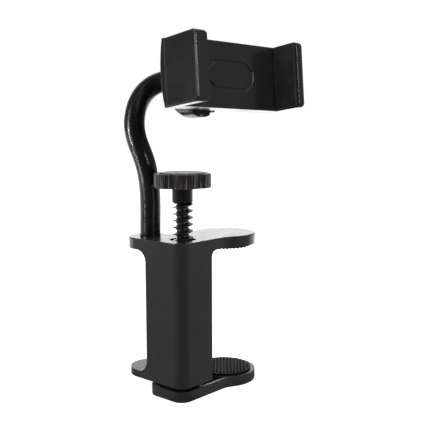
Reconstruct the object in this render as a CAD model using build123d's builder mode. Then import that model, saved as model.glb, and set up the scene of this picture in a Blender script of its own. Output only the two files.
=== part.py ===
from build123d import *
import os
from math import cos, radians, sin

# Screw clamp for the edge of a guitar body, with a gooseneck and a sprung phone clip.
# Origin: underside of the lower jaw on the screw axis. +X runs along the jaws,
# +Y towards the foot of the gooseneck.

# Clamp moulding
clamp_height = 103.0
plate_thickness = 7.2
column_x, column_y = 28.6, 32.4
column_centre = (-2.0, 2.0)
near_corner = 8.0
column_gap = 2.4
foot_thickness = 4.8
arm_reach = 26.0
jaw_reach = 44.5
jaw_radius = 21.7
neck_curve = 18.0
flange_fillet = 8.0
jaw_fillet = 4.5
edge_round = 0.8
cavity_roof = 2.5
plate_hole_clearance = 0.4

# Lower jaw
tray_height = 7.0
tray_wall = 2.0
tray_floor = 2.0
post_x, post_y = 19.4, 21.4
post_corner = 3.0
post_inner_corner = 2.0
post_wall = 2.4
post_drop = 25.0
post_cap = 5.0
post_clearance = 0.15
pad_rim = 3.0
pad_recess = 1.4
pad_proud = 1.3
rib_pitch = 2.7
rib_width = 1.3
rib_height = 0.8
rib_turn = 41.0

# Screw and knob
thread_root = 3.9
thread_crest = 6.7
thread_pitch = 4.33
thread_turns = 10
thread_flank = 1.6
thread_waist = 0.8
thread_tip = 0.26
bush_radius = 8.5
bush_length = 16.0
bush_sink = 3.0
bush_chamfer = 0.6
running_fit = 0.05
jaw_travel = 23.0
collar_clearance = 0.7
collar_length = 10.3
collar_radius = 6.6
collar_chamfer = 0.8
knob_height = 8.9
knob_radius = 18.5
lobe_count = 6
scallop_radius = 9.0
scallop_depth = 1.7
lobe_round = 1.5
lobe_turn = 22
knurl_count = 60
knurl_radius = 0.45
knurl_sink = 0.1
crown_inset = 3.5
crown_height = 0.6
crown_taper = 30
head_across = 8.6
head_height = 12.0
journal_radius = 3.0
washer_radius = 5.0
washer_thickness = 1.0
end_screw_head = 4.0
end_screw_height = 2.0
end_screw_radius = 1.6
end_screw_length = 8.0
end_screw_socket = 1.8
end_screw_socket_depth = 1.2
end_screw_gap = 0.5

# Gooseneck, with the points of its curve measured from its foot
arm_offsets = ((-0.7, -0.6, 31.7), (-5.5, -0.1, 52.4), (-9.1, 3.2, 67.3), (10.8, 3.1, 100.3))
sleeve_radius = 6.6
sleeve_bore = 4.8
core_radius = 4.5
ferrule_height = 9.0
fixing_radius = 2.0
fixing_head = 3.6
fixing_head_height = 3.0
fixing_length = 14.0
fixing_socket = 1.6
fixing_socket_depth = 1.8
fixing_clearance = 0.1
flex_start, flex_end = 0.24, 0.60
ferrule_flange = 0.7
ferrule_end = 2.0
spigot_radius = 4.1
spigot_length = 2.5
stud_head_radius = 3.7
stud_head_height = 1.5

# Phone clip
clip_x, clip_y, clip_rise = 26.0, -10.6, 103.0
clip_yaw, clip_pitch, clip_roll = -8.64, 6.88, 2.26
clip_height = 42.2
clip_opening = 73.4
jaw_depth = 32.5
body_depth = 11.6
back_bow = 2.8
front_corner = 3.0
fixed_jaw_shell = 6.0
fixed_pad_thickness = 3.5
lip_depth = 2.6
sliding_jaw_shell = 5.2
sliding_pad_thickness = 1.8
pad_border = 1.0
jaw_rim = 1.0
lip_round = 2.9
slider_corner = 2.4
cover_joint = 2.2
slide_width = 26.0
slide_depth = 5.6
slide_length = 58.0
slide_gap = 0.2
cavity_wall = 3.5
jaw_parting = 0.3
groove_length, groove_height = 36.4, 15.6
groove_chamfer = 5.5
groove_width = 1.3
groove_depth = 0.8
groove_shift = -2.2
lip_inset = 0.4
pad_base_gap = 0.6
pad_tip_gap = 1.6
pad_round = 1.0
spring_radius = 2.0
spring_wire = 0.4
spring_turns = 8
cover_screw_radius = 1.1
cover_screw_head = 2.1
cover_screw_length = 8.0
cover_screw_inset = 4.0
cover_screw_ends = (5.5, 6.0)
drive_length, drive_width, drive_depth = 2.2, 0.5, 0.6

# Ball joint
ball_radius = 7.0
ball_place = (-15.0, -8.0)
ball_behind = 11.0
ball_fit = 0.08
stud_tilt = 32.0
stud_radius = 3.2
cup_radius = 9.6
cup_lip = 3.0
cup_slot = 1.2
cup_slot_depth = 9.0
nut_front_radius, nut_back_radius = 17.0, 16.0
nut_front, nut_back = 3.4, 16.0
nut_gap = 0.3
nut_mouth = 8.4
nut_flutes = 12
flute_sink = 0.4
flute_stop = 2.0
flute_radius = 2.0
stud_reach = 12.5
core_stop = 2.2

# Heights and places that follow from the sizes above
column_bottom = tray_height + column_gap
plate_bottom = clamp_height - plate_thickness
foot_top = column_bottom + foot_thickness
column_back = column_centre[1] + column_y / 2
column_front = column_centre[1] - column_y / 2
column_left = column_centre[0] - column_x / 2
column_right = column_centre[0] + column_x / 2
jaw_centre = (column_centre[0] + jaw_reach, column_centre[1])
arm_foot = (column_centre[0], column_centre[1] + arm_reach)
pad_radius = jaw_radius - pad_rim
bush_bottom = clamp_height - bush_sink - bush_length
cavity_top = bush_bottom - cavity_roof
post_top = clamp_height - post_drop
screw_tip = post_top - post_cap - running_fit
collar_bottom = clamp_height + jaw_travel + collar_clearance
knob_bottom = collar_bottom + collar_length

clip = Plane(
    Location((clip_x, clip_y, clamp_height + clip_rise))
    * Location((0, 0, 0), (0, 0, clip_yaw))
    * Location(Plane.XZ)
    * Location((0, 0, 0), (-clip_pitch, 0, 0))
    * Location((0, 0, 0), (0, 0, -clip_roll))
)
clip_side = Plane(clip.origin, x_dir=clip.z_dir, z_dir=clip.x_dir)
fixed_face = -clip_opening / 2
sliding_face = clip_opening / 2
ball_centre = clip.from_local_coords(Vector(*ball_place, -ball_behind))
stud_dir = clip.y_dir * sin(radians(stud_tilt)) - clip.z_dir * cos(radians(stud_tilt))
stud = Plane(ball_centre, x_dir=clip.x_dir, z_dir=stud_dir)
socket = Plane(ball_centre, x_dir=clip.x_dir, z_dir=clip.z_dir)
arm_end = ball_centre + stud_dir * (stud_reach + ferrule_end)


def jaw_outline(sketch):
    """Column footprint that widens in hollow curves into the round jaw plate."""
    with Locations((column_centre[0] + jaw_reach / 2, column_centre[1])):
        Rectangle(jaw_reach, column_y)
    with Locations(jaw_centre):
        Circle(jaw_radius)
    necks = sketch.vertices().filter_by_position(
        Axis.X, column_right + 1, jaw_centre[0] - 1
    )
    fillet(necks, neck_curve)
    with Locations(column_centre):
        Rectangle(column_x, column_y)
    fillet(sketch.vertices().group_by(Axis.X)[0].sort_by(Axis.Y)[0], near_corner)


def flange_outline():
    """Tongue that runs from the column to the rounded end under the gooseneck."""
    with Locations((column_centre[0], column_centre[1] + arm_reach / 2)):
        Rectangle(column_x, arm_reach)
    with Locations(arm_foot):
        Circle(column_x / 2)


# The clamp is one C-shaped moulding: top plate, hollow column and lower foot flange.
with BuildPart() as clamp_body:
    with BuildSketch(Plane.XY.offset(plate_bottom)) as top_plan:
        jaw_outline(top_plan)
        flange_outline()
    extrude(amount=plate_thickness)
    with BuildSketch(Plane.XY.offset(column_bottom)) as column_plan:
        with Locations(column_centre):
            Rectangle(column_x, column_y)
        fillet(column_plan.vertices().group_by(Axis.X)[0].sort_by(Axis.Y)[0], near_corner)
    extrude(amount=clamp_height - column_bottom)
    with BuildSketch(Plane.XY.offset(column_bottom)):
        flange_outline()
    extrude(amount=clamp_height - column_bottom)
    with BuildSketch(Plane.YZ.offset(column_left - 1)) as arch:
        with Locations((column_back, (foot_top + plate_bottom) / 2)):
            Rectangle(
                2 * arm_reach,
                plate_bottom - foot_top,
                align=(Align.MIN, Align.CENTER),
            )
        fillet(arch.vertices().group_by(Axis.X)[0], flange_fillet)
    extrude(amount=column_x + 2, mode=Mode.SUBTRACT)
    with BuildSketch(Plane.XZ.offset(-column_front)):
        with Locations((column_right, plate_bottom)):
            Rectangle(jaw_fillet, jaw_fillet, align=(Align.MIN, Align.MAX))
        with Locations((column_right + jaw_fillet, plate_bottom - jaw_fillet)):
            Circle(jaw_fillet, mode=Mode.SUBTRACT)
    extrude(amount=-column_y)
    fillet(clamp_body.faces().sort_by(Axis.Z)[-1].edges(), edge_round)
    with BuildSketch(Plane.XY.offset(column_bottom)):
        with Locations(column_centre):
            RectangleRounded(
                post_x + 2 * post_clearance, post_y + 2 * post_clearance, post_corner
            )
    extrude(amount=cavity_top - column_bottom, mode=Mode.SUBTRACT)
    with Locations((0, 0, clamp_height)):
        CounterBoreHole(thread_crest + plate_hole_clearance, bush_radius, bush_sink + bush_length)
    with Locations(Location((*arm_foot, plate_bottom), (180, 0, 0))):
        CounterBoreHole(
            fixing_radius + fixing_clearance,
            fixing_head + fixing_clearance,
            fixing_head_height + fixing_clearance,
            depth=plate_thickness,
        )
    with BuildSketch(Plane.XY.offset(plate_bottom)):
        with Locations(jaw_centre):
            Circle(pad_radius)
    extrude(amount=pad_recess, mode=Mode.SUBTRACT)


def ribbed_pad(face_height, direction):
    """Round rubber pad seated in a recess, with ridges on the gripping face."""
    with BuildPart() as pad:
        with BuildSketch(Plane.XY.offset(face_height)):
            with Locations(jaw_centre):
                Circle(pad_radius)
        extrude(amount=direction * (pad_recess + pad_proud))
        with BuildSketch(Plane.XY.offset(face_height + direction * (pad_recess + pad_proud))):
            with Locations(Location((*jaw_centre, 0), (0, 0, rib_turn))):
                with GridLocations(0, rib_pitch, 1, int(2 * pad_radius / rib_pitch)):
                    Rectangle(2 * pad_radius, rib_width)
            with Locations(jaw_centre):
                Circle(pad_radius - edge_round, mode=Mode.INTERSECT)
        extrude(amount=direction * rib_height)
    return pad.part


upper_jaw_pad = ribbed_pad(plate_bottom + pad_recess, -1)
lower_jaw_pad = ribbed_pad(tray_height - pad_recess, 1)

# Lower jaw: an open tray with the guide post that slides inside the column.
with BuildPart() as lower_jaw:
    with BuildSketch() as tray_plan:
        jaw_outline(tray_plan)
        fillet(tray_plan.vertices().group_by(Axis.X)[0].sort_by(Axis.Y)[-1], near_corner)
    extrude(amount=tray_height)
    fillet(lower_jaw.faces().sort_by(Axis.Z)[0].edges(), edge_round)
    with BuildSketch(Plane.XY.offset(tray_floor)) as tray_hollow:
        with Locations((column_left + tray_wall, column_centre[1])):
            Rectangle(jaw_reach, column_y - 2 * tray_wall, align=(Align.MIN, Align.CENTER))
        fillet(tray_hollow.vertices().group_by(Axis.X)[0], near_corner - tray_wall)
        with Locations(jaw_centre):
            Circle(pad_radius + tray_wall, mode=Mode.SUBTRACT)
    extrude(amount=tray_height, mode=Mode.SUBTRACT)
    with BuildSketch(Plane.XY.offset(tray_height)):
        with Locations(jaw_centre):
            Circle(pad_radius)
    extrude(amount=-pad_recess, mode=Mode.SUBTRACT)
    with BuildSketch():
        with Locations(column_centre):
            RectangleRounded(post_x, post_y, post_corner)
    extrude(amount=post_top)
    with BuildSketch():
        with Locations(column_centre):
            RectangleRounded(post_x - 2 * post_wall, post_y - 2 * post_wall, post_inner_corner)
    extrude(amount=post_top - post_cap, mode=Mode.SUBTRACT)
    with Locations((0, 0, post_top)):
        Hole(journal_radius + running_fit, depth=post_cap)

with BuildPart() as post_plug:
    with BuildSketch():
        with Locations(column_centre):
            RectangleRounded(post_x - 2 * post_wall, post_y - 2 * post_wall, post_inner_corner)
    extrude(amount=tray_floor)

with BuildPart() as threaded_bush:
    with Locations((0, 0, bush_bottom)):
        Cylinder(bush_radius, bush_length, align=(Align.CENTER, Align.CENTER, Align.MIN))
    with Locations((0, 0, bush_bottom + bush_length)):
        Hole(thread_crest + running_fit, depth=bush_length)
    chamfer(threaded_bush.faces().sort_by(Axis.Z)[-1].edges(), bush_chamfer)

# Screw: a coarse V thread with wide hollow roots, swept along its helix.
with BuildPart() as clamp_screw:
    with Locations((0, 0, post_top + running_fit)):
        Cylinder(
            thread_root,
            collar_bottom - post_top - running_fit,
            align=(Align.CENTER, Align.CENTER, Align.MIN),
        )
    with Locations((0, 0, screw_tip)):
        Cylinder(
            journal_radius,
            post_cap + 2 * running_fit,
            align=(Align.CENTER, Align.CENTER, Align.MIN),
        )
    with BuildSketch(Plane.XY.offset(collar_bottom)):
        RegularPolygon(head_across / 2, 6, major_radius=False)
    extrude(amount=head_height)
    thread_start = collar_bottom - thread_pitch * thread_turns
    with BuildLine(Plane.XY.offset(thread_start)):
        Helix(thread_pitch, thread_pitch * thread_turns, thread_root)
    with BuildSketch(Plane((0, 0, thread_start), x_dir=(1, 0, 0), z_dir=(0, -1, 0))):
        with BuildLine():
            Polyline(
                (thread_root - 0.5, -thread_flank),
                (thread_root + 0.1, -thread_flank),
                (thread_root + 0.9, -thread_waist),
                (thread_crest, -thread_tip),
                (thread_crest, thread_tip),
                (thread_root + 0.9, thread_waist),
                (thread_root + 0.1, thread_flank),
                (thread_root - 0.5, thread_flank),
                close=True,
            )
        make_face()
    sweep(is_frenet=True)
    with BuildSketch(Plane.XY.offset(collar_bottom)):
        Circle(2 * thread_crest)
        RegularPolygon(head_across / 2, 6, major_radius=False, mode=Mode.SUBTRACT)
    extrude(amount=head_height, mode=Mode.SUBTRACT)
    with Locations(Location((0, 0, screw_tip), (180, 0, 0))):
        Hole(end_screw_radius, depth=end_screw_length)

with BuildPart() as knob:
    with Locations((0, 0, collar_bottom)):
        Cylinder(
            collar_radius,
            knob_bottom - collar_bottom,
            align=(Align.CENTER, Align.CENTER, Align.MIN),
        )
    chamfer(knob.faces().sort_by(Axis.Z)[0].edges(), collar_chamfer)
    with BuildSketch(Plane.XY.offset(knob_bottom)) as knob_plan:
        Circle(knob_radius)
        with PolarLocations(
            knob_radius + scallop_radius - scallop_depth, lobe_count, start_angle=lobe_turn
        ):
            Circle(scallop_radius, mode=Mode.SUBTRACT)
        fillet(knob_plan.vertices(), lobe_round)
        with PolarLocations(knob_radius + knurl_sink, knurl_count):
            Circle(knurl_radius, mode=Mode.SUBTRACT)
    extrude(amount=knob_height)
    with BuildSketch(Plane.XY.offset(knob_bottom + knob_height)):
        Circle(knob_radius - crown_inset)
    extrude(amount=crown_height, taper=crown_taper)
    with BuildSketch(Plane.XY.offset(collar_bottom)):
        RegularPolygon(head_across / 2, 6, major_radius=False)
    extrude(amount=head_height, mode=Mode.SUBTRACT)

with BuildPart() as swivel_washer:
    with Locations((0, 0, screw_tip)):
        Cylinder(
            washer_radius, washer_thickness, align=(Align.CENTER, Align.CENTER, Align.MAX)
        )
        Hole(end_screw_radius, depth=washer_thickness)

with BuildPart() as swivel_screw:
    with Locations((0, 0, screw_tip - washer_thickness)):
        Cylinder(
            end_screw_head,
            end_screw_height,
            align=(Align.CENTER, Align.CENTER, Align.MAX),
        )
        Cylinder(
            end_screw_radius,
            end_screw_length + washer_thickness - end_screw_gap,
            align=(Align.CENTER, Align.CENTER, Align.MIN),
        )
    with BuildSketch(Plane.XY.offset(screw_tip - washer_thickness - end_screw_height)):
        RegularPolygon(end_screw_socket, 6)
    extrude(amount=end_screw_socket_depth, mode=Mode.SUBTRACT)

# Gooseneck: the curve it stands in, a bendable core and the sleeve over it.
arm_base = Vector(*arm_foot, clamp_height)
arm_points = [arm_base + Vector(*point) for point in arm_offsets]
with BuildLine() as arm_path:
    Spline(arm_base, *arm_points, arm_end, tangents=((0, 0, 1), -stud_dir))
arm_edge = arm_path.edge()


def swept_core(start, end):
    """Length of the round core between two shares of the arm's length."""
    path = arm_edge.trim(start, end)
    with BuildPart() as core:
        with BuildSketch(Plane(path @ 0, z_dir=path % 0)):
            Circle(core_radius)
        sweep(path=path, is_frenet=True)
    return core.part


ferrule_share = (ferrule_height + 0.2) / arm_edge.length
end_share = 1 - (spigot_length + stud_head_height + core_stop) / arm_edge.length
gooseneck_core_lower = swept_core(ferrule_share, flex_start)
gooseneck_core_flex = swept_core(flex_start, flex_end)
gooseneck_core_upper = swept_core(flex_end, end_share)

with BuildPart() as gooseneck_sleeve:
    with BuildSketch(Plane(arm_edge @ 0, z_dir=arm_edge % 0)):
        Circle(sleeve_radius)
    sweep(path=arm_edge, is_frenet=True)
    with BuildSketch(Plane(arm_edge @ 0, z_dir=arm_edge % 0)):
        Circle(sleeve_bore)
    sweep(path=arm_edge, is_frenet=True, mode=Mode.SUBTRACT)

with BuildPart() as arm_base_ferrule:
    with Locations((*arm_foot, clamp_height)):
        Cylinder(
            core_radius, ferrule_height, align=(Align.CENTER, Align.CENTER, Align.MIN)
        )
        Hole(fixing_radius, depth=ferrule_height - 1)

with BuildPart() as arm_fixing_screw:
    with Locations((*arm_foot, plate_bottom)):
        Cylinder(
            fixing_head, fixing_head_height, align=(Align.CENTER, Align.CENTER, Align.MIN)
        )
        Cylinder(
            fixing_radius, fixing_length, align=(Align.CENTER, Align.CENTER, Align.MIN)
        )
    with BuildSketch(Plane.XY.offset(plate_bottom)):
        with Locations(arm_foot):
            RegularPolygon(fixing_socket, 6)
    extrude(amount=fixing_socket_depth, mode=Mode.SUBTRACT)

# Ball joint, drawn from the ball's centre and from the back of the clip.
socket_base = Plane(
    ball_centre + clip.z_dir * ball_behind, x_dir=clip.x_dir, z_dir=-clip.z_dir
)
stud_head_start = stud_reach + ferrule_end + spigot_length + running_fit
with BuildPart(stud) as ball_stud:
    Sphere(ball_radius)
    Cylinder(stud_radius, stud_head_start, align=(Align.CENTER, Align.CENTER, Align.MIN))
    with Locations((0, 0, stud_head_start)):
        Cylinder(
            stud_head_radius,
            stud_head_height,
            align=(Align.CENTER, Align.CENTER, Align.MIN),
        )

with BuildPart(stud) as arm_top_ferrule:
    with Locations((0, 0, stud_reach)):
        Cylinder(
            sleeve_radius + ferrule_flange,
            ferrule_end,
            align=(Align.CENTER, Align.CENTER, Align.MIN),
        )
        Cylinder(
            spigot_radius,
            ferrule_end + spigot_length,
            align=(Align.CENTER, Align.CENTER, Align.MIN),
        )
    Cylinder(stud_radius + running_fit, 4 * stud_reach, mode=Mode.SUBTRACT)

with BuildPart() as ball_lock_nut:
    with BuildSketch(socket_base.offset(nut_front)):
        Circle(nut_front_radius)
    with BuildSketch(socket_base.offset(nut_back)):
        Circle(nut_back_radius)
    loft()
    with BuildSketch(socket_base):
        Circle(cup_radius + nut_gap)
    extrude(amount=ball_behind + cup_lip, mode=Mode.SUBTRACT)
    with BuildSketch(socket_base.offset(ball_behind + cup_lip)):
        Circle(cup_radius + nut_gap)
    with BuildSketch(socket_base.offset(nut_back)):
        Circle(nut_mouth)
    loft(mode=Mode.SUBTRACT)
    with BuildSketch(socket_base):
        with PolarLocations(nut_front_radius + flute_sink, nut_flutes):
            Circle(flute_radius)
    extrude(amount=nut_back - flute_stop, mode=Mode.SUBTRACT)


def side_outline(depth):
    """Clip section across the phone: bowed back and rounded front corners."""
    half = clip_height / 2
    with BuildLine() as line:
        Polyline((0, half), (depth, half), (depth, -half), (0, -half))
        ThreePointArc((0, -half), (-back_bow, 0), (0, half))
    make_face(line.edges())


def clip_section(start, length, depth, corner):
    """Adds the clip's side section, extruded along the clip's width."""
    with BuildSketch(clip_side.offset(start)) as section:
        side_outline(depth)
        fillet(section.vertices().group_by(Axis.X)[-1], corner)
    extrude(section.sketch, amount=length)


def outer_rim(part, outer_side, skipped):
    """Edges round a jaw's outer face, without those at its rear that are skipped."""
    outer = part.faces().sort_by(Axis(clip.origin, clip.x_dir))[outer_side]
    return outer.edges().sort_by(Axis(clip.origin, clip.z_dir))[skipped:]


def behind_joint(mode):
    """Cuts or keeps what lies behind the joint of housing and cover."""
    with BuildSketch(clip.offset(cover_joint)) as joint:
        Rectangle(4 * clip_opening, 2 * clip_height)
    extrude(joint.sketch, amount=-2 * ball_behind, mode=mode)


fixed_outer = fixed_face - fixed_pad_thickness - fixed_jaw_shell
housing_end = sliding_face
slide_floor = cover_joint + slide_gap
slide_centre = slide_floor + slide_depth / 2
slide_start = housing_end - slide_length
cover_screw_across = clip_height / 2 - cover_screw_inset
screw_seat = -back_bow * (1 - (2 * cover_screw_across / clip_height) ** 2)
cover_screw_spots = [
    clip * Location((x, y, screw_seat), (180, 0, 0))
    for x in (fixed_outer + cover_screw_ends[0], housing_end - cover_screw_ends[1])
    for y in (-cover_screw_across, cover_screw_across)
]

with BuildPart() as fixed_jaw_lip:
    clip_section(
        fixed_face - fixed_pad_thickness, fixed_pad_thickness - lip_inset, jaw_depth, front_corner
    )
    with BuildSketch(clip.offset(jaw_depth - lip_depth)) as hook:
        with Locations((fixed_face - lip_inset, 0)):
            Rectangle(2 * fixed_jaw_shell, clip_height, align=(Align.MAX, Align.CENTER))
        fillet(hook.vertices().group_by(Axis.X)[-1], lip_round)
    extrude(amount=2 * lip_depth, mode=Mode.INTERSECT)

# Housing with the fixed jaw, moulded as one.
with BuildPart() as clip_body:
    clip_section(fixed_outer, fixed_jaw_shell, jaw_depth, front_corner)
    clip_section(fixed_outer, housing_end - fixed_outer, body_depth, edge_round)
    behind_joint(Mode.SUBTRACT)
    fillet(outer_rim(clip_body, 0, 1), jaw_rim)
    add(fixed_jaw_lip.part)
    with BuildSketch(clip.offset(cover_joint)):
        with Locations((fixed_outer + cavity_wall, 0)):
            Rectangle(
                housing_end - fixed_outer,
                slide_width + 2 * slide_gap,
                align=(Align.MIN, Align.CENTER),
            )
    extrude(amount=slide_depth + 2 * slide_gap, mode=Mode.SUBTRACT)
    with BuildSketch(clip.offset(body_depth)) as groove:
        with Locations((groove_shift, 0)):
            Rectangle(groove_length + 2 * groove_width, groove_height + 2 * groove_width)
        chamfer(groove.vertices(), groove_chamfer + groove_width / 2)
    extrude(amount=-groove_depth, mode=Mode.SUBTRACT)
    with BuildSketch(clip.offset(body_depth)) as panel:
        with Locations((groove_shift, 0)):
            Rectangle(groove_length, groove_height)
        chamfer(panel.vertices(), groove_chamfer)
    extrude(amount=-groove_depth)
    with Locations(*cover_screw_spots):
        Hole(cover_screw_radius, depth=cover_screw_length)

# Back cover with the split cup that the lock nut squeezes onto the ball.
with BuildPart() as back_cover:
    clip_section(fixed_outer, housing_end - fixed_outer, body_depth, edge_round)
    behind_joint(Mode.INTERSECT)
    with BuildSketch(socket_base):
        Circle(cup_radius)
    extrude(amount=ball_behind + cup_lip)
    with Locations(socket):
        Sphere(ball_radius + ball_fit, mode=Mode.SUBTRACT)
    with BuildSketch(socket_base.offset(ball_behind + cup_lip)):
        Rectangle(3 * cup_radius, cup_slot)
        Rectangle(cup_slot, 3 * cup_radius)
    extrude(amount=-cup_slot_depth, mode=Mode.SUBTRACT)
    with Locations(*cover_screw_spots):
        CounterSinkHole(
            cover_screw_radius, cover_screw_head, depth=2 * cover_screw_length
        )

with BuildPart() as fixed_jaw_pad:
    with BuildSketch(clip_side.offset(fixed_face)):
        with Locations((body_depth, 0)):
            Rectangle(
                jaw_depth - lip_depth - body_depth,
                clip_height - 2 * pad_border,
                align=(Align.MIN, Align.CENTER),
            )
    extrude(amount=-fixed_pad_thickness)
    fillet(fixed_jaw_pad.edges().filter_by(Axis(clip.origin, clip.z_dir)), pad_round)

with BuildPart() as sliding_jaw:
    clip_section(housing_end + jaw_parting, sliding_jaw_shell, jaw_depth, front_corner)
    with BuildSketch(clip) as corners:
        with Locations((housing_end + jaw_parting + sliding_jaw_shell, 0)):
            Rectangle(2 * sliding_jaw_shell, clip_height, align=(Align.MAX, Align.CENTER))
        fillet(corners.vertices().group_by(Axis.X)[-1], slider_corner)
    extrude(amount=2 * jaw_depth, both=True, mode=Mode.INTERSECT)
    fillet(outer_rim(sliding_jaw, -1, 0), jaw_rim)
    with BuildSketch(clip.offset(slide_floor)):
        with Locations((slide_start, 0)):
            Rectangle(
                slide_length + jaw_parting + 1, slide_width, align=(Align.MIN, Align.CENTER)
            )
    extrude(amount=slide_depth)

with BuildPart() as sliding_jaw_pad:
    with BuildSketch(clip_side.offset(housing_end + jaw_parting)):
        with Locations((body_depth + pad_base_gap, 0)):
            Rectangle(
                jaw_depth - body_depth - pad_base_gap - pad_tip_gap,
                clip_height - 2 * pad_border,
                align=(Align.MIN, Align.CENTER),
            )
    extrude(amount=-sliding_pad_thickness)

spring_start = clip.from_local_coords(
    Vector(fixed_outer + cavity_wall + 1.2 * spring_wire, 0, slide_centre)
)
spring_length = slide_start - fixed_outer - cavity_wall - 2.4 * spring_wire
with BuildPart() as return_spring:
    with BuildLine() as coil:
        Helix(
            spring_length / spring_turns,
            spring_length,
            spring_radius,
            center=spring_start,
            direction=clip.x_dir,
        )
    with BuildSketch(Plane(coil.edge() @ 0, z_dir=coil.edge() % 0)):
        Circle(spring_wire)
    sweep(path=coil.edge(), is_frenet=True)

# Countersunk screws that hold the back cover to the housing.
with BuildPart() as cover_screws:
    with Locations(*cover_screw_spots):
        Cylinder(
            cover_screw_radius,
            cover_screw_length,
            align=(Align.CENTER, Align.CENTER, Align.MAX),
        )
        Cone(
            cover_screw_radius,
            cover_screw_head,
            cover_screw_head - cover_screw_radius,
            align=(Align.CENTER, Align.CENTER, Align.MAX),
        )
    for spot in cover_screw_spots:
        with BuildSketch(Plane(spot)) as drive:
            Rectangle(drive_length, drive_width)
            Rectangle(drive_width, drive_length)
        extrude(drive.sketch, amount=-drive_depth, mode=Mode.SUBTRACT)

parts = {
    "clamp_body": clamp_body.part,
    "upper_jaw_pad": upper_jaw_pad,
    "threaded_bush": threaded_bush.part,
    "arm_base_ferrule": arm_base_ferrule.part,
    "arm_fixing_screw": arm_fixing_screw.part,
    "gooseneck_core_lower": gooseneck_core_lower,
    "gooseneck_core_flex": gooseneck_core_flex,
    "gooseneck_core_upper": gooseneck_core_upper,
    "gooseneck_sleeve": gooseneck_sleeve.part,
    "arm_top_ferrule": arm_top_ferrule.part,
    "ball_stud": ball_stud.part,
    "ball_lock_nut": ball_lock_nut.part,
    "clip_body": clip_body.part,
    "back_cover": back_cover.part,
    "cover_screws": cover_screws.part,
    "fixed_jaw_pad": fixed_jaw_pad.part,
    "sliding_jaw": sliding_jaw.part,
    "sliding_jaw_pad": sliding_jaw_pad.part,
    "return_spring": return_spring.part,
    "lower_jaw": lower_jaw.part,
    "lower_jaw_pad": lower_jaw_pad,
    "post_plug": post_plug.part,
    "clamp_screw": clamp_screw.part,
    "knob": knob.part,
    "swivel_washer": swivel_washer.part,
    "swivel_screw": swivel_screw.part,
}
os.makedirs("parts", exist_ok=True)
for name, part in parts.items():
    part.label = name
    export_step(part, f"parts/{name}.step")
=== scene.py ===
import math
import bpy
import numpy as np
from mathutils import Matrix, Vector


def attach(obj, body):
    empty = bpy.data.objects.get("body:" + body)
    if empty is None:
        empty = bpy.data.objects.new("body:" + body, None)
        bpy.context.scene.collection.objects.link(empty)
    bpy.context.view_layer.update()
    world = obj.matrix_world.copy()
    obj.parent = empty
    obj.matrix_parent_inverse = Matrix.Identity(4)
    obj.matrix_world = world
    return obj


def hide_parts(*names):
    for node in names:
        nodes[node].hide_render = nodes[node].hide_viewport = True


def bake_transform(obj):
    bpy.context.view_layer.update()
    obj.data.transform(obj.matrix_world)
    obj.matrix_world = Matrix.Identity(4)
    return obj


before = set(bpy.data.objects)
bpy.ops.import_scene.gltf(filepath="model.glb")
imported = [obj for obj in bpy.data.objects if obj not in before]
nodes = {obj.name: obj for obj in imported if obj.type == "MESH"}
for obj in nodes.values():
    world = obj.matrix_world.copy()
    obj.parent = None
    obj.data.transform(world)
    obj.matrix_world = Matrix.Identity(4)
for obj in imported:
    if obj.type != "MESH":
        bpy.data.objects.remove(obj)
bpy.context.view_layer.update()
MM = 0.001

# Sizes of the moulded and swept pieces, in millimetres, in the CAD frame.
CLAMP_TOP = 103.0
ARM_FOOT = (-2.0, 28.0)
ARM_OFFSETS = ((-0.7, -0.6, 31.7), (-5.5, -0.1, 52.4), (-9.1, 3.2, 67.3), (10.8, 3.1, 100.3))
ARM_END = (14.648, 14.552, 203.483)
ARM_END_HEADING = (-0.1567, -0.892, -0.4241)
SLEEVE_RADIUS = 6.9
JAW_CENTRE = (42.5, 2.0)
PAD_RADIUS = 18.7
PAD_STEM = 2.7
LOWER_PAD_BASE = 5.6
UPPER_PAD_BASE = 97.2
STUD_PITCH = 2.35
STUD_SIZE = 1.7
STUD_HEIGHT = 0.8
STUD_TURN = 41.0
KNOB_BOTTOM = 137.0

# How far the pale band on moulded corners spreads, partly edge wear and partly painted highlight,
# and how dust sits on flat faces.
EDGE_WEAR_HIGHLIGHT_SPREAD = 0.15
SPECK_SHARE = 0.18
SPECK_TONE = 0.2


# ---------------------------------------------------------------- node helpers
def node(tree, kind, inputs=None, **settings):
    """A node with its settings and inputs; an input that is a socket is linked."""
    made = tree.nodes.new(kind)
    for key, value in settings.items():
        setattr(made, key, value)
    for key, value in (inputs or {}).items():
        if isinstance(value, bpy.types.NodeSocket):
            tree.links.new(value, made.inputs[key])
        else:
            made.inputs[key].default_value = value
    return made


def maths(tree, operation, first, second=0.0, clamp=False):
    return node(
        tree, "ShaderNodeMath", {0: first, 1: second}, operation=operation, use_clamp=clamp
    ).outputs[0]


def ramp(tree, value, low, high, start=0.0, end=1.0):
    """Value between low and high, spread smoothly from start to end."""
    return node(
        tree,
        "ShaderNodeMapRange",
        {"Value": value, 1: low, 2: high, 3: start, 4: end},
        interpolation_type="SMOOTHSTEP",
    ).outputs[0]


def blend_colour(tree, factor, first, second):
    return node(
        tree, "ShaderNodeMix", {0: factor, 6: first, 7: second}, data_type="RGBA"
    ).outputs[2]


def grey(value, warm=0.0):
    """A grey; warm shifts it by that share towards red."""
    return (value * (1 + warm), value, value * (1 - warm), 1.0)


def shader_group(name, inputs, outputs):
    tree = bpy.data.node_groups.new(name, "ShaderNodeTree")
    for label, kind, value in inputs:
        socket = tree.interface.new_socket(label, in_out="INPUT", socket_type=kind)
        if value is not None:
            socket.default_value = value
    for label, kind in outputs:
        tree.interface.new_socket(label, in_out="OUTPUT", socket_type=kind)
    return tree, tree.nodes.new("NodeGroupInput"), tree.nodes.new("NodeGroupOutput")


FLOAT, VECTOR = "NodeSocketFloat", "NodeSocketVector"


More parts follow.
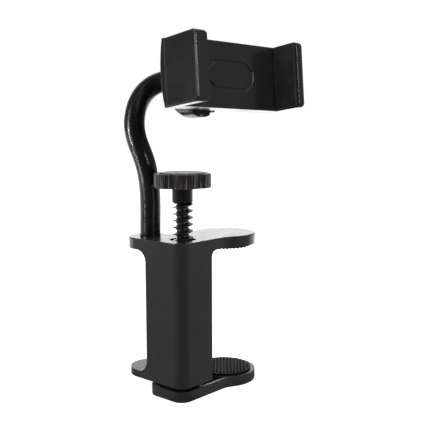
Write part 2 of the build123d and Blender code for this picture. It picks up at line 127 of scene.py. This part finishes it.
def make_soft_edge():
    """Rounded corners in the shading, and a mask of the corners themselves."""
    tree, given, out = shader_group(
        "soft_edge",
        [("Radius", FLOAT, 0.0004), ("Start", FLOAT, 0.01), ("Reach", FLOAT, 0.16)],
        [("Normal", VECTOR), ("Edge", FLOAT)],
    )
    bevel = node(tree, "ShaderNodeBevel", {"Radius": given.outputs["Radius"]}, samples=6)
    flat = node(tree, "ShaderNodeNewGeometry")
    dot = node(
        tree,
        "ShaderNodeVectorMath",
        {0: bevel.outputs[0], 1: flat.outputs["Normal"]},
        operation="DOT_PRODUCT",
    ).outputs["Value"]
    turned = maths(tree, "SUBTRACT", 1.0, dot)
    edge = ramp(tree, turned, given.outputs["Start"], given.outputs["Reach"])
    tree.links.new(bevel.outputs[0], out.inputs["Normal"])
    tree.links.new(edge, out.inputs["Edge"])
    return tree


def make_moulded_grain():
    """Fine spark-eroded texture of a moulding, with broad patches of handling."""
    tree, given, out = shader_group(
        "moulded_grain",
        [("Vector", VECTOR, None), ("Grains", FLOAT, 3200.0), ("Patches", FLOAT, 60.0)],
        [("Height", FLOAT), ("Patch", FLOAT), ("Speck", FLOAT)],
    )
    point = given.outputs["Vector"]
    fine = node(
        tree,
        "ShaderNodeTexNoise",
        {"Vector": point, "Scale": given.outputs["Grains"], "Detail": 3.0, "Roughness": 0.6},
    )
    broad = node(
        tree,
        "ShaderNodeTexNoise",
        {"Vector": point, "Scale": given.outputs["Patches"], "Detail": 4.0, "Roughness": 0.55},
    )
    dust = node(
        tree, "ShaderNodeTexNoise", {"Vector": point, "Scale": 1500.0, "Detail": 1.0}
    )
    tree.links.new(fine.outputs[0], out.inputs["Height"])
    tree.links.new(ramp(tree, broad.outputs[0], 0.35, 0.7), out.inputs["Patch"])
    tree.links.new(ramp(tree, dust.outputs[0], 0.7, 0.76), out.inputs["Speck"])
    return tree


def make_leather_grain():
    """Pebbled grain of a soft vinyl sleeve: rounded cells with creases between."""
    tree, given, out = shader_group(
        "leather_grain",
        [("Vector", VECTOR, None), ("Cells", FLOAT, 1300.0), ("Wander", FLOAT, 0.0004)],
        [("Height", FLOAT), ("Crease", FLOAT)],
    )
    point = given.outputs["Vector"]
    drift = node(tree, "ShaderNodeTexNoise", {"Vector": point, "Scale": 700.0, "Detail": 2.0})
    push = node(
        tree,
        "ShaderNodeVectorMath",
        {0: drift.outputs["Color"], 1: (0.5, 0.5, 0.5)},
        operation="SUBTRACT",
    )
    scaled = node(
        tree,
        "ShaderNodeVectorMath",
        {0: push.outputs[0], "Scale": given.outputs["Wander"]},
        operation="SCALE",
    )
    moved = node(tree, "ShaderNodeVectorMath", {0: point, 1: scaled.outputs[0]}, operation="ADD")
    cells = node(
        tree,
        "ShaderNodeTexVoronoi",
        {"Vector": moved.outputs[0], "Scale": given.outputs["Cells"]},
        feature="DISTANCE_TO_EDGE",
    )
    crease = ramp(tree, cells.outputs["Distance"], 0.0, 0.16, 1.0, 0.0)
    pores = node(tree, "ShaderNodeTexNoise", {"Vector": point, "Scale": 4200.0, "Detail": 2.0})
    domes = ramp(tree, cells.outputs["Distance"], 0.0, 0.45)
    height = maths(tree, "ADD", domes, maths(tree, "MULTIPLY", pores.outputs[0], 0.35))
    tree.links.new(height, out.inputs["Height"])
    tree.links.new(crease, out.inputs["Crease"])
    return tree


def make_turning_lines():
    """Fine rings that a lathe tool leaves round an upright axis."""
    tree, given, out = shader_group(
        "turning_lines",
        [("Vector", VECTOR, None), ("Lines", FLOAT, 6000.0)],
        [("Height", FLOAT), ("Streak", FLOAT)],
    )
    parts = node(tree, "ShaderNodeSeparateXYZ", {0: given.outputs["Vector"]})
    line = maths(tree, "MULTIPLY", parts.outputs["Z"], given.outputs["Lines"])
    rings = node(
        tree,
        "ShaderNodeTexNoise",
        {"W": line, "Scale": 1.0, "Detail": 3.0},
        noise_dimensions="1D",
    )
    tree.links.new(rings.outputs[0], out.inputs["Height"])
    tree.links.new(ramp(tree, rings.outputs[0], 0.35, 0.65), out.inputs["Streak"])
    return tree


SOFT_EDGE = make_soft_edge()
MOULDED_GRAIN = make_moulded_grain()
LEATHER_GRAIN = make_leather_grain()
TURNING_LINES = make_turning_lines()


def use(tree, group, inputs=None):
    made = tree.nodes.new("ShaderNodeGroup")
    made.node_tree = group
    for key, value in (inputs or {}).items():
        if isinstance(value, bpy.types.NodeSocket):
            tree.links.new(value, made.inputs[key])
        else:
            made.inputs[key].default_value = value
    return made


def new_material(name):
    """An empty node material, its Principled shader and its object coordinates."""
    material = bpy.data.materials.new(name)
    material.use_nodes = True
    tree = material.node_tree
    shader = tree.nodes["Principled BSDF"]
    place = node(tree, "ShaderNodeTexCoord").outputs["Object"]
    return material, tree, shader, place


def set_shader(tree, shader, **values):
    for key, value in values.items():
        socket = shader.inputs[key.replace("_", " ")]
        if isinstance(value, bpy.types.NodeSocket):
            tree.links.new(value, socket)
        else:
            socket.default_value = value


def moulded_plastic(
    name, tone, worn_tone, roughness, grain_depth, edge_radius, specular=0.5, coat=0.0,
    edge_wear_highlight_tone=0.09, edge_start=0.01, polish_change=0.035,
):
    """Satin injection moulding: grain, handled patches and corners painted paler, partly rubbed
    wear and partly a painted highlight.
    """
    material, tree, shader, place = new_material(name)
    grain = use(tree, MOULDED_GRAIN, {"Vector": place})
    edge = use(
        tree,
        SOFT_EDGE,
        {"Radius": edge_radius, "Start": edge_start, "Reach": edge_start + EDGE_WEAR_HIGHLIGHT_SPREAD},
    )
    body = blend_colour(tree, grain.outputs["Patch"], tone, worn_tone)
    # Paler corners: partly rubbed wear, partly a painted highlight along the edges.
    wear_dust_and_highlight = maths(tree, "MULTIPLY", edge.outputs["Edge"], grain.outputs["Height"], clamp=True)
    colour = blend_colour(tree, wear_dust_and_highlight, body, grey(edge_wear_highlight_tone, 0.02))
    speck = maths(tree, "MULTIPLY", grain.outputs["Speck"], SPECK_SHARE)
    colour = blend_colour(tree, speck, colour, grey(SPECK_TONE, 0.02))
    matt, polished = roughness + polish_change, roughness - polish_change
    polish = ramp(tree, grain.outputs["Patch"], 0.0, 1.0, matt, polished)
    bump = node(
        tree,
        "ShaderNodeBump",
        {
            "Strength": 0.5,
            "Distance": grain_depth,
            "Height": grain.outputs["Height"],
            "Normal": edge.outputs["Normal"],
        },
    )
    set_shader(
        tree,
        shader,
        Base_Color=colour,
        Roughness=polish,
        Normal=bump.outputs[0],
        Specular_IOR_Level=specular,
        Coat_Weight=coat,
        Coat_Roughness=0.2,
    )
    return material


def grained_vinyl():
    """Glossy black sleeve skin, polished on its cells, matt in the creases and painted darker
    there as painted shade.
    """
    material, tree, shader, place = new_material("grained_vinyl")
    grain = use(tree, LEATHER_GRAIN, {"Vector": place})
    wear = use(tree, MOULDED_GRAIN, {"Vector": place, "Patches": 90.0})
    # Creases painted darker than the cells: painted shade.
    colour = blend_colour(tree, grain.outputs["Crease"], grey(0.003, 0.03), grey(0.0015))
    colour = blend_colour(tree, wear.outputs["Patch"], colour, grey(0.005, 0.04))
    roughness = ramp(tree, grain.outputs["Crease"], 0.0, 1.0, 0.13, 0.3)
    bump = node(
        tree,
        "ShaderNodeBump",
        {"Strength": 0.8, "Distance": 0.000026, "Height": grain.outputs["Height"]},
    )
    set_shader(
        tree, shader, Base_Color=colour, Roughness=roughness, Normal=bump.outputs[0],
        Specular_IOR_Level=0.3,
    )
    return material


def ribbed_rubber(name, tone, roughness, grain_depth):
    """Matt rubber with dust on its raised corners."""
    material, tree, shader, place = new_material(name)
    grain = use(tree, MOULDED_GRAIN, {"Vector": place, "Grains": 2200.0, "Patches": 140.0})
    edge = use(tree, SOFT_EDGE, {"Radius": 0.00035})
    colour = blend_colour(tree, grain.outputs["Patch"], tone, grey(tone[1] * 1.5))
    dusted = maths(tree, "MULTIPLY", edge.outputs["Edge"], 0.5, clamp=True)
    colour = blend_colour(tree, dusted, colour, grey(0.06))
    bump = node(
        tree,
        "ShaderNodeBump",
        {
            "Strength": 0.6,
            "Distance": grain_depth,
            "Height": grain.outputs["Height"],
            "Normal": edge.outputs["Normal"],
        },
    )
    rough = ramp(tree, grain.outputs["Height"], 0.3, 0.7, roughness - 0.06, roughness + 0.08)
    set_shader(
        tree, shader, Base_Color=colour, Roughness=rough, Normal=bump.outputs[0],
        Specular_IOR_Level=0.1,
    )
    return material


def knob_plastic_dust_and_highlight():
    """Charcoal knob whose knurl carries pale streaks, partly dust and partly painted highlight,
    and whose face is paler; its edges carry a painted highlight.
    """
    material, tree, shader, place = new_material("knob_plastic_dust_and_highlight")
    grain = use(tree, MOULDED_GRAIN, {"Vector": place, "Grains": 2600.0, "Patches": 220.0})
    edge = use(tree, SOFT_EDGE, {"Radius": 0.0004})
    centred = node(
        tree, "ShaderNodeMapping", {"Vector": place, "Scale": (1.0, 1.0, 0.04)}
    ).outputs[0]
    streaks = node(
        tree, "ShaderNodeTexNoise", {"Vector": centred, "Scale": 1400.0, "Detail": 3.0}
    )
    height = node(tree, "ShaderNodeSeparateXYZ", {0: place}).outputs["Z"]
    on_knob = ramp(tree, height, (KNOB_BOTTOM - 0.6) * MM, (KNOB_BOTTOM + 0.2) * MM)
    wear_dust_and_highlight = maths(tree, "MULTIPLY", ramp(tree, streaks.outputs[0], 0.5, 0.66), on_knob)
    colour = blend_colour(tree, grain.outputs["Patch"], grey(0.008, 0.08), grey(0.013, 0.08))
    colour = blend_colour(tree, on_knob, grey(0.007), colour)
    # Pale streaks on the knurl: partly dust, partly a painted highlight.
    colour = blend_colour(
        tree, maths(tree, "MULTIPLY", wear_dust_and_highlight, 0.8), colour, grey(0.22, 0.09)
    )
    # Knob edges painted paler: a painted highlight along its rims.
    colour = blend_colour(
        tree,
        maths(tree, "MULTIPLY", maths(tree, "MULTIPLY", edge.outputs["Edge"], on_knob), 0.5),
        colour,
        grey(0.2, 0.04),
    )
    bump = node(
        tree,
        "ShaderNodeBump",
        {
            "Strength": 0.5,
            "Distance": 0.00006,
            "Height": grain.outputs["Height"],
            "Normal": edge.outputs["Normal"],
        },
    )
    set_shader(
        tree, shader, Base_Color=colour, Roughness=ramp(tree, wear_dust_and_highlight, 0.0, 1.0, 0.42, 0.58),
        Normal=bump.outputs[0], Specular_IOR_Level=0.4,
    )
    return material


def turned_metal(name, tone, dark_tone, roughness, metallic=1.0, lines=6000.0, coat=0.0):
    """Lathe-turned metal, bare or with a coat of lacquer."""
    material, tree, shader, place = new_material(name)
    turning = use(tree, TURNING_LINES, {"Vector": place, "Lines": lines})
    grain = use(tree, MOULDED_GRAIN, {"Vector": place, "Grains": 1800.0, "Patches": 160.0})
    edge = use(tree, SOFT_EDGE, {"Radius": 0.0002})
    colour = blend_colour(tree, turning.outputs["Streak"], dark_tone, tone)
    colour = blend_colour(
        tree, maths(tree, "MULTIPLY", grain.outputs["Patch"], 0.35), colour, dark_tone
    )
    rough = ramp(tree, grain.outputs["Patch"], 0.0, 1.0, roughness, roughness + 0.12)
    bump = node(
        tree,
        "ShaderNodeBump",
        {
            "Strength": 0.4,
            "Distance": 0.00002,
            "Height": turning.outputs["Height"],
            "Normal": edge.outputs["Normal"],
        },
    )
    set_shader(
        tree, shader, Base_Color=colour, Roughness=rough, Normal=bump.outputs[0],
        Metallic=metallic, Coat_Weight=coat, Coat_Roughness=0.12,
    )
    return material


charcoal_moulding = moulded_plastic(
    "charcoal_moulding", grey(0.021, 0.01), grey(0.025, 0.01), 0.27, 0.000006, 0.0002,
    edge_wear_highlight_tone=0.06, polish_change=0.008,
)
clip_moulding = moulded_plastic(
    "clip_moulding", grey(0.006), grey(0.008), 0.22, 0.00001, 0.0009, specular=0.42,
    edge_wear_highlight_tone=0.04, edge_start=0.05,
)
nut_moulding = moulded_plastic("nut_moulding", grey(0.012), grey(0.018), 0.4, 0.00004, 0.0003)
polished_ball = moulded_plastic(
    "polished_ball", grey(0.010), grey(0.013), 0.2, 0.00001, 0.0002, coat=0.3
)
sleeve_vinyl = grained_vinyl()
pad_rubber = ribbed_rubber("pad_rubber", grey(0.004, 0.02), 0.5, 0.00005)
jaw_rubber = ribbed_rubber("jaw_rubber", grey(0.013), 0.6, 0.00004)
knob_plastic = knob_plastic_dust_and_highlight()
blackened_screw = turned_metal(
    "blackened_screw", grey(0.015, 0.05), grey(0.009, 0.05), 0.3, metallic=0.0, coat=0.4
)
bare_steel = turned_metal("bare_steel", grey(0.62), grey(0.42), 0.28)
turned_brass = turned_metal("turned_brass", (0.66, 0.5, 0.24, 1), (0.45, 0.33, 0.15, 1), 0.3)
core_wire = turned_metal("core_wire", grey(0.6), grey(0.4), 0.35, lines=2600.0)

FINISHES = {
    charcoal_moulding: ("clamp_body", "lower_jaw", "post_plug"),
    clip_moulding: ("clip_body", "back_cover", "sliding_jaw"),
    nut_moulding: ("ball_lock_nut", "arm_top_ferrule"),
    polished_ball: ("ball_stud",),
    sleeve_vinyl: ("gooseneck_sleeve",),
    pad_rubber: ("upper_jaw_pad", "lower_jaw_pad"),
    jaw_rubber: ("fixed_jaw_pad", "sliding_jaw_pad"),
    knob_plastic: ("knob",),
    blackened_screw: ("clamp_screw",),
    bare_steel: (
        "arm_base_ferrule",
        "arm_fixing_screw",
        "cover_screws",
        "return_spring",
        "swivel_washer",
        "swivel_screw",
    ),
    turned_brass: ("threaded_bush",),
    core_wire: ("gooseneck_core_lower", "gooseneck_core_flex", "gooseneck_core_upper"),
}
for material, names in FINISHES.items():
    for name in names:
        nodes[name].data.materials.clear()
        nodes[name].data.materials.append(material)


# ------------------------------------------------------------ geometry helpers
def geometry_tree(name, inputs):
    tree = bpy.data.node_groups.new(name, "GeometryNodeTree")
    for label, kind, value in inputs:
        socket = tree.interface.new_socket(label, in_out="INPUT", socket_type=kind)
        if value is not None:
            socket.default_value = value
    tree.interface.new_socket("Geometry", in_out="OUTPUT", socket_type="NodeSocketGeometry")
    return tree, tree.nodes.new("NodeGroupInput"), tree.nodes.new("NodeGroupOutput")


def close_tree(tree, given, out, geometry):
    """Ends a tree with real geometry and its material."""
    real = node(tree, "GeometryNodeRealizeInstances", {"Geometry": geometry})
    painted = node(
        tree,
        "GeometryNodeSetMaterial",
        {"Geometry": real.outputs[0], "Material": given.outputs["Material"]},
    )
    tree.links.new(painted.outputs[0], out.inputs["Geometry"])


def grow(name, carrier, tree, values):
    """Runs a tree on a carrier object and keeps the result as a plain mesh."""
    modifier = carrier.modifiers.new("grow", "NODES")
    modifier.node_group = tree
    for item in tree.interface.items_tree:
        if item.in_out == "INPUT" and item.name in values:
            modifier[item.identifier] = values[item.name]
    bpy.context.view_layer.update()
    graph = bpy.context.evaluated_depsgraph_get()
    mesh = bpy.data.meshes.new_from_object(carrier.evaluated_get(graph))
    carrier.modifiers.remove(modifier)
    bpy.data.objects.remove(carrier)
    mesh.name = name
    piece = bpy.data.objects.new(name, mesh)
    bpy.context.scene.collection.objects.link(piece)
    return piece


def empty_carrier(name):
    carrier = bpy.data.objects.new(name + "_carrier", bpy.data.meshes.new(name + "_carrier"))
    bpy.context.scene.collection.objects.link(carrier)
    return carrier


def smooth(piece, angle):
    """Smooth shading, sharp where faces meet at more than the angle in degrees."""
    piece.data.shade_smooth()
    piece.data.set_sharp_from_angle(angle=math.radians(angle))


# ------------------------------------------------------------------- gooseneck
def clamped_spline(points, start, end):
    """Velocities of the smooth curve through the points with the given end headings."""
    points = np.array(points, float)
    steps = np.linalg.norm(np.diff(points, axis=0), axis=1)
    count = len(points)
    matrix, right = np.eye(count), np.zeros((count, 3))
    right[0], right[-1] = start, end
    for i in range(1, count - 1):
        before, after = steps[i - 1], steps[i]
        matrix[i, i - 1 : i + 2] = 1 / before, 2 / before + 2 / after, 1 / after
        right[i] = 3 * (points[i] - points[i - 1]) / before**2
        right[i] += 3 * (points[i + 1] - points[i]) / after**2
    return np.linalg.solve(matrix, right), steps


def arm_curve():
    """Bezier curve that the gooseneck follows, from its foot to the ball stud."""
    points = [(*ARM_FOOT, CLAMP_TOP)]
    points += [(ARM_FOOT[0] + x, ARM_FOOT[1] + y, CLAMP_TOP + z) for x, y, z in ARM_OFFSETS]
    points.append(ARM_END)
    speeds, steps = clamped_spline(points, (0, 0, 1), ARM_END_HEADING)
    data = bpy.data.curves.new("arm_path", "CURVE")
    data.dimensions = "3D"
    data.resolution_u = 24
    spline = data.splines.new("BEZIER")
    spline.bezier_points.add(len(points) - 1)
    for i, (knot, point) in enumerate(zip(spline.bezier_points, points)):
        before = steps[max(i - 1, 0)] / 3
        after = steps[min(i, len(steps) - 1)] / 3
        knot.handle_left_type = knot.handle_right_type = "FREE"
        knot.co = Vector(point) * MM
        knot.handle_left = (Vector(point) - Vector(speeds[i]) * before) * MM
        knot.handle_right = (Vector(point) + Vector(speeds[i]) * after) * MM
    curve = bpy.data.objects.new("arm_path", data)
    bpy.context.scene.collection.objects.link(curve)
    return curve


def sleeve_tree():
    """Round sleeve swept along the arm's path."""
    tree, given, out = geometry_tree(
        "sleeve_on_path",
        [
            ("Path", "NodeSocketGeometry", None),
            ("Radius", FLOAT, 0.0066),
            ("Ring Spacing", FLOAT, 0.0008),
            ("Sides", "NodeSocketInt", 64),
            ("Material", "NodeSocketMaterial", None),
        ],
    )
    path = node(
        tree,
        "GeometryNodeResampleCurve",
        {"Curve": given.outputs["Path"], "Length": given.outputs["Ring Spacing"]},
        mode="LENGTH",
    )
    ring = node(
        tree,
        "GeometryNodeCurvePrimitiveCircle",
        {"Resolution": given.outputs["Sides"], "Radius": given.outputs["Radius"]},
        mode="RADIUS",
    )
    tube = node(
        tree,
        "GeometryNodeCurveToMesh",
        {
            "Curve": path.outputs[0],
            "Profile Curve": ring.outputs[0],
            "Fill Caps": True,
        },
    )
    close_tree(tree, given, out, tube.outputs[0])
    return tree


sleeve = grow(
    "gooseneck_skin",
    arm_curve(),
    sleeve_tree(),
    {"Radius": SLEEVE_RADIUS * MM, "Material": sleeve_vinyl},
)
smooth(sleeve, 60)
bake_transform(sleeve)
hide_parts("gooseneck_sleeve", "gooseneck_core_flex")


# ------------------------------------------------------------------- jaw pads
def studded_pad_tree():
    """Round rubber pad whose gripping face is covered with small square studs."""
    tree, given, out = geometry_tree(
        "studded_pad",
        [
            ("Geometry", "NodeSocketGeometry", None),
            ("Pad Radius", FLOAT, 0.0187),
            ("Pad Thickness", FLOAT, 0.0027),
            ("Stud Pitch", FLOAT, 0.0027),
            ("Stud Size", FLOAT, 0.002),
            ("Stud Height", FLOAT, 0.0008),
            ("Turn", FLOAT, 0.0),
            ("Material", "NodeSocketMaterial", None),
        ],
    )
    radius, pitch = given.outputs["Pad Radius"], given.outputs["Stud Pitch"]
    thickness, height = given.outputs["Pad Thickness"], given.outputs["Stud Height"]
    across = maths(tree, "MULTIPLY", radius, 2.0)
    count = maths(tree, "CEIL", maths(tree, "DIVIDE", across, pitch))
    count = maths(tree, "ADD", count, 1.0)
    span = maths(tree, "MULTIPLY", maths(tree, "SUBTRACT", count, 1.0), pitch)
    grid = node(
        tree,
        "GeometryNodeMeshGrid",
        {"Size X": span, "Size Y": span, "Vertices X": count, "Vertices Y": count},
    )
    place = node(tree, "GeometryNodeInputPosition").outputs[0]
    far = node(tree, "ShaderNodeVectorMath", {0: place}, operation="LENGTH").outputs["Value"]
    inside = node(
        tree,
        "FunctionNodeCompare",
        {0: far, 1: maths(tree, "SUBTRACT", radius, given.outputs["Stud Size"])},
        operation="LESS_THAN",
    )
    foot = maths(tree, "MULTIPLY", given.outputs["Stud Size"], 0.7071)
    stud = node(
        tree,
        "GeometryNodeMeshCone",
        {
            "Vertices": 4,
            "Radius Top": maths(tree, "MULTIPLY", foot, 0.45),
            "Radius Bottom": foot,
            "Depth": height,
        },
    )
    studs = node(
        tree,
        "GeometryNodeInstanceOnPoints",
        {
            "Points": grid.outputs[0],
            "Selection": inside.outputs[0],
            "Instance": stud.outputs[0],
            "Rotation": (0, 0, math.radians(45)),
        },
    )
    lift = node(tree, "ShaderNodeCombineXYZ", {"Z": thickness})
    turn = node(tree, "ShaderNodeCombineXYZ", {"Z": given.outputs["Turn"]})
    studs = node(
        tree,
        "GeometryNodeTransform",
        {
            "Geometry": studs.outputs[0],
            "Translation": lift.outputs[0],
            "Rotation": turn.outputs[0],
        },
    )
    side = node(
        tree,
        "GeometryNodeMeshCylinder",
        {"Vertices": 96, "Radius": radius, "Depth": thickness},
    )
    half = maths(tree, "MULTIPLY", thickness, 0.5)
    middle = node(tree, "ShaderNodeCombineXYZ", {"Z": half})
    disc = node(
        tree,
        "GeometryNodeTransform",
        {"Geometry": side.outputs[0], "Translation": middle.outputs[0]},
    )
    both = tree.nodes.new("GeometryNodeJoinGeometry")
    tree.links.new(disc.outputs[0], both.inputs[0])
    tree.links.new(studs.outputs[0], both.inputs[0])
    close_tree(tree, given, out, both.outputs[0])
    return tree


PAD_TREE = studded_pad_tree()


def jaw_pad(name, base, flip, body, replaced):
    """One studded pad, set on its jaw and bound to the jaw's body."""
    piece = grow(
        name,
        empty_carrier(name),
        PAD_TREE,
        {
            "Pad Radius": PAD_RADIUS * MM,
            "Pad Thickness": PAD_STEM * MM,
            "Stud Pitch": STUD_PITCH * MM,
            "Stud Size": STUD_SIZE * MM,
            "Stud Height": STUD_HEIGHT * MM,
            "Turn": math.radians(-STUD_TURN if flip else STUD_TURN),
            "Material": pad_rubber,
        },
    )
    place = Matrix.Translation(Vector((*JAW_CENTRE, base)) * MM)
    if flip:
        place = place @ Matrix.Rotation(math.pi, 4, "X")
    piece.data.transform(place)
    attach(piece, body)
    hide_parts(replaced)


jaw_pad("lower_pad_studded", LOWER_PAD_BASE, False, "lower_jaw_body", "lower_jaw_pad")
jaw_pad("upper_pad_studded", UPPER_PAD_BASE, True, "clamp", "upper_jaw_pad")

# ------------------------------------------------------ floor, light and camera
FLOOR_HALF = 30  # metres from the middle to each side
BEHIND = (0.66, 0.75, 0.0)  # level direction from the camera past the object
ROOM_LIGHT = 0.5  # strength of the world on matt faces
FLOOR_SHOWN = 0.8  # glow that lifts the floor to white in the picture
STRIP_BEYOND = 1.5  # glow of the floor beyond the object, in polished faces only

floor_data = bpy.data.meshes.new("floor")
corners = [(x * FLOOR_HALF, y * FLOOR_HALF, 0) for x, y in ((-1, -1), (1, -1), (1, 1), (-1, 1))]
floor_data.from_pydata(corners, [], [(0, 1, 2, 3)])
floor = bpy.data.objects.new("floor", floor_data)
bpy.context.scene.collection.objects.link(floor)


def seen_in_gloss(tree, heading):
    """What polished faces see: a dim room, white only behind the object."""
    flat = node(
        tree, "ShaderNodeVectorMath", {0: heading, 1: (1.0, 1.0, 0.0)}, operation="MULTIPLY"
    ).outputs[0]
    flat = node(tree, "ShaderNodeVectorMath", {0: flat}, operation="NORMALIZE").outputs[0]
    behind = node(
        tree, "ShaderNodeVectorMath", {0: flat, 1: BEHIND}, operation="DOT_PRODUCT"
    ).outputs["Value"]
    front = ramp(tree, behind, -1.0, -0.3, 0.1, 0.32)
    sides = ramp(tree, behind, 0.0, 0.4, 0.0, 0.12)
    back = ramp(tree, behind, 0.55, 0.95, 0.0, 0.8)
    return maths(tree, "ADD", maths(tree, "SUBTRACT", front, sides), back)


def pale_floor():
    """White to the eye, dim in polished faces except beyond the object."""
    material, tree, shader, place = new_material("pale_floor")
    cloud = node(tree, "ShaderNodeTexNoise", {"Vector": place, "Scale": 3.0, "Detail": 2.0})
    colour = blend_colour(tree, cloud.outputs[0], grey(0.86), grey(0.88))
    path = node(tree, "ShaderNodeLightPath")
    glossy = path.outputs["Is Glossy Ray"]
    colour = blend_colour(tree, glossy, colour, grey(0.02))
    shown = maths(
        tree, "MAXIMUM", path.outputs["Is Camera Ray"], path.outputs["Is Transmission Ray"]
    )
    beyond = node(
        tree, "ShaderNodeVectorMath", {0: place, 1: BEHIND}, operation="DOT_PRODUCT"
    ).outputs["Value"]
    bright = ramp(tree, beyond, 0.12, 0.25, 0.0, STRIP_BEYOND)
    seen = maths(tree, "ADD", seen_in_gloss(tree, place), bright)
    reflected = maths(tree, "MULTIPLY", glossy, seen)
    glow = maths(tree, "ADD", maths(tree, "MULTIPLY", shown, FLOOR_SHOWN), reflected)
    set_shader(
        tree,
        shader,
        Base_Color=colour,
        Roughness=0.9,
        Specular_IOR_Level=0.0,
        Emission_Color=grey(1.0),
        Emission_Strength=glow,
    )
    return material


floor_data.materials.append(pale_floor())

world = bpy.data.worlds.new("studio")
bpy.context.scene.world = world
world.use_nodes = True
sky = world.node_tree
background = sky.nodes["Background"]
background.inputs["Color"].default_value = grey(1.0)
heading = node(sky, "ShaderNodeTexCoord").outputs["Generated"]
path = node(sky, "ShaderNodeLightPath")
glossy = path.outputs["Is Glossy Ray"]
reflected = maths(sky, "MULTIPLY", glossy, seen_in_gloss(sky, heading))
direct = maths(sky, "MAXIMUM", path.outputs["Is Camera Ray"], path.outputs["Is Transmission Ray"])
rest = maths(sky, "SUBTRACT", 1.0, maths(sky, "MAXIMUM", direct, glossy))
ambient = maths(sky, "MULTIPLY", rest, ROOM_LIGHT)
strength = maths(sky, "ADD", maths(sky, "ADD", direct, reflected), ambient)
sky.links.new(strength, background.inputs["Strength"])


def softbox(name, place, target, size, power):
    """A rectangular lamp that points at its target and isn't seen itself."""
    data = bpy.data.lights.new(name, "AREA")
    data.shape = "RECTANGLE"
    data.size, data.size_y = size
    data.energy = power
    lamp = bpy.data.objects.new(name, data)
    bpy.context.scene.collection.objects.link(lamp)
    lamp.location = place
    lamp.rotation_euler = (Vector(place) - Vector(target)).to_track_quat("Z", "Y").to_euler()
    lamp.visible_camera = False
    return lamp


def glint(name, place, target, size, power, pieces):
    """A strip lamp whose light falls on the given pieces alone."""
    lamp = softbox(name, place, target, size, power)
    lit = bpy.data.collections.new(name + "_pieces")
    for piece in pieces:
        lit.objects.link(piece)
    lamp.light_linking.receiver_collection = lit


CLIP_NAMES = ("clip_body", "sliding_jaw", "fixed_jaw_pad", "sliding_jaw_pad")
CLIP_PIECES = [nodes[name] for name in CLIP_NAMES]
SLEEVE_AND_SCREW = [sleeve, nodes["clamp_screw"]]

# Lamps: name, place and target in metres, size across and up, power in watts.
SOFTBOXES = (
    ("left_softbox", (-0.48, 0.32, 0.43), (0, 0.03, 0.16), (0.11, 0.42), 1.0),
    ("top_softbox", (0.05, -0.15, 0.95), (0, 0, 0.1), (0.7, 0.7), 2.8),
    ("rear_softbox", (1.58, 1.8, 0.41), (0, 0, 0.1), (2.0, 0.24), 5.2),
)
SLEEVE_GLINTS = (
    ("sleeve_glint_high", (-0.19, 0.115, 0.19), (-0.017, 0.03, 0.17), (0.016, 0.11), 0.42),
    ("sleeve_glint_middle", (-0.196, 0.092, 0.125), (-0.016, 0.027, 0.16), (0.012, 0.03), 0.16),
)
SLEEVE_AND_SCREW_GLINTS = (
    ("sleeve_glint_low", (-0.24, 0.172, 0.02), (-0.014, 0.027, 0.156), (0.12, 0.014), 0.2),
    ("sleeve_glint_front", (-0.03, -0.223, 0.114), (-0.009, 0.022, 0.149), (0.016, 0.012), 0.06),
)
CLIP_GLINTS = (
    ("clip_glint_left", (-0.36, 0.04, 0.3), (0, 0, 0.2), (0.05, 0.16), 0.14),
    ("clip_glint_camera", (-0.4, -0.22, 0.35), (0, 0, 0.2), (0.06, 0.08), 0.55),
    ("clip_glint_front", (-0.02, -0.33, 0.29), (0, 0, 0.2), (0.07, 0.16), 0.65),
)
for lamp in SOFTBOXES:
    softbox(*lamp)
for lamp in SLEEVE_GLINTS:
    glint(*lamp, [sleeve])
for lamp in SLEEVE_AND_SCREW_GLINTS:
    glint(*lamp, SLEEVE_AND_SCREW)
for lamp in CLIP_GLINTS:
    glint(*lamp, CLIP_PIECES)

CAMERA_PLACE = (-357.7, -342.8, 181.7)
CAMERA_TURN = (-48.577, 7.23, -0.18)  # azimuth, elevation and roll in degrees
CAMERA_LENS = 65.02
CAMERA_SHIFT = 0.0014
azimuth, elevation, roll = (math.radians(a) for a in CAMERA_TURN)
back = Vector(
    (
        math.sin(azimuth) * math.cos(elevation),
        -math.cos(azimuth) * math.cos(elevation),
        math.sin(elevation),
    )
)
lens_data = bpy.data.cameras.new("camera")
lens_data.lens = CAMERA_LENS
lens_data.shift_x = CAMERA_SHIFT
lens_data.clip_start, lens_data.clip_end = 0.01, 100
camera = bpy.data.objects.new("camera", lens_data)
bpy.context.scene.collection.objects.link(camera)
camera.location = Vector(CAMERA_PLACE) * MM
camera.rotation_euler = (
    back.to_track_quat("Z", "Y").to_matrix() @ Matrix.Rotation(roll, 3, "Z")
).to_euler()
bpy.context.scene.camera = camera
bpy.context.scene.view_settings.view_transform = "Standard"
